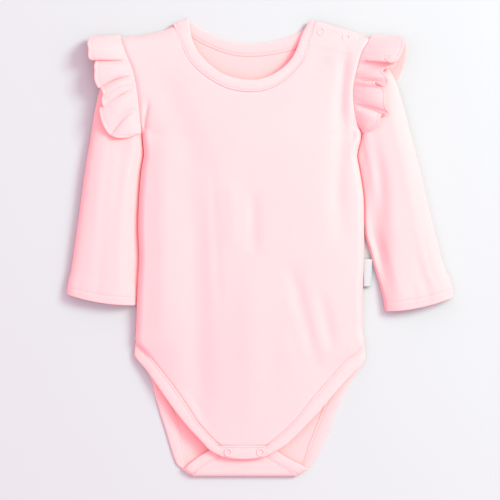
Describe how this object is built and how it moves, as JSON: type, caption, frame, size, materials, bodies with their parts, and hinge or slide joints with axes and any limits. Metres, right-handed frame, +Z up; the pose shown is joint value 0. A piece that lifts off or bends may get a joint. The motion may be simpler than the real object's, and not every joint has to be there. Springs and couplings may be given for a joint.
{
  "type": "baby onesie",
  "caption": "Long-sleeved baby bodysuit in plain pink knit, laid flat, with ruffled shoulders, bound neck and leg openings, and snaps at one shoulder and the crotch",
  "frame": {"origin": "middle of the underside of the whole garment, on the surface it lies on", "axes": "+X to the right sleeve of the picture, +Y from the crotch towards the neck, +Z up from the surface"},
  "size_m": [0.3496, 0.4128, 0.0255],
  "materials": {
    "knit": "soft matt cotton interlock knit, pale pink",
    "ruffle_knit": "the same knit in a single gathered layer",
    "binding": "folded knit strip, stitched along its inner edge",
    "snap": "open-ring snap, painted pink to match the cloth",
    "label": "bare white woven ribbon"
  },
  "bodies": {
    "root": {"front_panel": "knit", "back_panel": "knit", "sleeve_left": "knit", "sleeve_right": "knit", "ruffle_left": "ruffle_knit", "ruffle_right": "ruffle_knit", "neck_binding": "binding", "leg_binding_left": "binding", "leg_binding_right": "binding", "crotch_band": "binding", "snap_shoulder_inner_ring": "snap", "snap_shoulder_inner_stud": "snap", "snap_shoulder_outer_ring": "snap", "snap_shoulder_outer_stud": "snap", "snap_crotch_left_ring": "snap", "snap_crotch_left_stud": "snap", "snap_crotch_right_ring": "snap", "snap_crotch_right_stud": "snap", "side_label": "label"}
  },
  "joints": []
}
